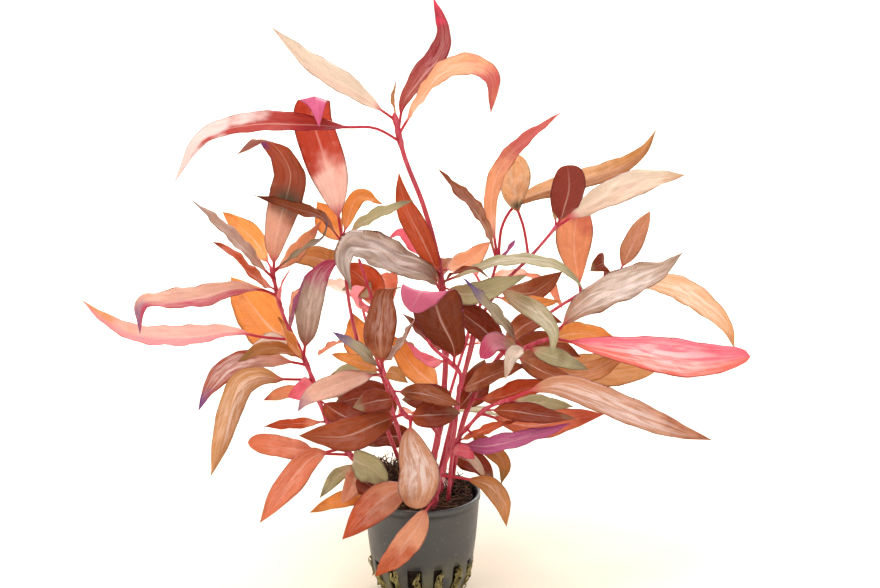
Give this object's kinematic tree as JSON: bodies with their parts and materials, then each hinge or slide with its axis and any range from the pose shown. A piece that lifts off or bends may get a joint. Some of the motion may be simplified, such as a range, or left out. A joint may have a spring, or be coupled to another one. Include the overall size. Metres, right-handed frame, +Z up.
{
  "type": "potted red-leaved aquarium plant",
  "caption": "Red-leaved aquarium stem plant with long lance-shaped leaves, growing from rock wool in a small round net pot with slots around its foot.",
  "frame": {"origin": "middle of the net pot's flat bottom face, which the plant stands on", "axes": "+Z up along the pot's axis; +X to the right as seen from the front, along the plant's widest spread; -Y towards the viewer"},
  "size_m": [0.2783, 0.1592, 0.2571],
  "materials": {
    "pot_plastic": "satin",
    "rock_wool": "matte",
    "stem_crimson": "satin",
    "leaf_copper": "satin",
    "leaf_bronze": "satin",
    "leaf_silver": "satin",
    "leaf_rose": "satin",
    "leaf_peach": "satin",
    "leaf_cream": "matte",
    "leaf_amber": "satin",
    "leaf_coral": "satin",
    "leaf_magenta": "satin",
    "leaf_ruby": "satin",
    "leaf_maroon": "satin",
    "leaf_olive": "satin",
    "leaf_tan": "satin"
  },
  "bodies": {
    "root": {"net_pot": "pot_plastic", "rock_wool": "rock_wool", "stem_tall": "stem_crimson", "stem_left": "stem_crimson", "stem_centre_left": "stem_crimson", "stem_middle": "stem_crimson", "stem_front": "stem_crimson", "stem_arched": "stem_crimson", "stem_right_upper": "stem_crimson", "stem_centre_right": "stem_crimson", "stem_right_low": "stem_crimson", "stem_right_middle": "stem_crimson", "stem_right_back": "stem_crimson", "stem_back_left": "stem_crimson", "stem_back_right": "stem_crimson", "leaf_top_left": "leaf_peach", "leaf_top_spire": "leaf_ruby", "leaf_top_right": "leaf_peach", "leaf_top_sweep": "leaf_ruby", "leaf_tall_side": "leaf_copper", "leaf_silver_fold": "leaf_silver", "leaf_bridge": "leaf_olive", "leaf_left_curl": "leaf_bronze", "leaf_left_upper": "leaf_rose", "leaf_left_arch": "leaf_rose", "leaf_left_low": "leaf_coral", "leaf_left_amber": "leaf_amber", "leaf_left_middle": "leaf_rose", "leaf_left_hang": "leaf_tan", "leaf_left_inner": "leaf_silver", "leaf_low_spatulate": "leaf_coral", "leaf_low_left": "leaf_coral", "leaf_fan": "leaf_copper", "leaf_centre_upright": "leaf_bronze", "leaf_centre_pink": "leaf_ruby", "leaf_low_front": "leaf_copper", "leaf_on_pot": "leaf_coral", "leaf_pot_right": "leaf_peach", "leaf_front_hang": "leaf_silver", "leaf_front_left": "leaf_bronze", "leaf_dried": "leaf_cream", "leaf_right_cream": "leaf_cream", "leaf_right_maroon": "leaf_maroon", "leaf_centre_sickle": "leaf_coral", "leaf_centre_up": "leaf_silver", "leaf_right_high": "leaf_amber", "leaf_right_bend": "leaf_olive", "leaf_right_low": "leaf_coral", "leaf_right_mauve": "leaf_magenta", "leaf_right_orange": "leaf_amber", "leaf_right_pink": "leaf_magenta", "leaf_right_silver": "leaf_silver", "leaf_right_tan": "leaf_tan", "leaf_right_amber": "leaf_amber", "leaf_right_upright": "leaf_coral", "leaf_right_droop": "leaf_peach", "leaf_back_left": "leaf_rose", "leaf_back_middle": "leaf_copper", "leaf_back_right": "leaf_coral", "leaf_back_centre": "leaf_bronze"}
  },
  "joints": []
}
